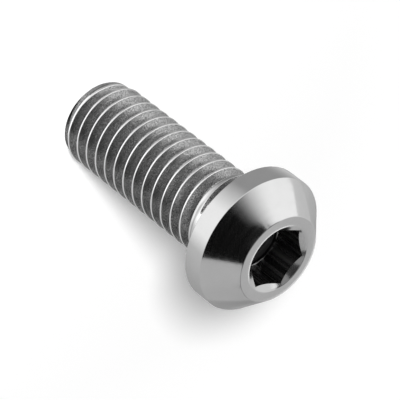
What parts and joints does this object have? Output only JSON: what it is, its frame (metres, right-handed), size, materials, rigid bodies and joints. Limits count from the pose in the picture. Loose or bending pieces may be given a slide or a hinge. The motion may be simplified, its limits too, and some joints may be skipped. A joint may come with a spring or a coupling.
{
  "type": "socket bolt",
  "caption": "Socket bolt with a tapered head: a rim, a cone and a small flat face with a hexagon drive, on a threaded shank with a chamfered end.",
  "frame": {"origin": "centre of the flat end of the shank, which the bolt stands on", "axes": "+Z along the bolt's axis towards the head; the hexagon has two corners on the X axis and two flats facing +Y and -Y"},
  "size_m": [0.0124, 0.0124, 0.0239],
  "materials": {
    "bolt_metal": "polished head with fine turning lines, matte grey rolled thread"
  },
  "bodies": {
    "root": {"bolt": "bolt_metal"}
  },
  "joints": []
}
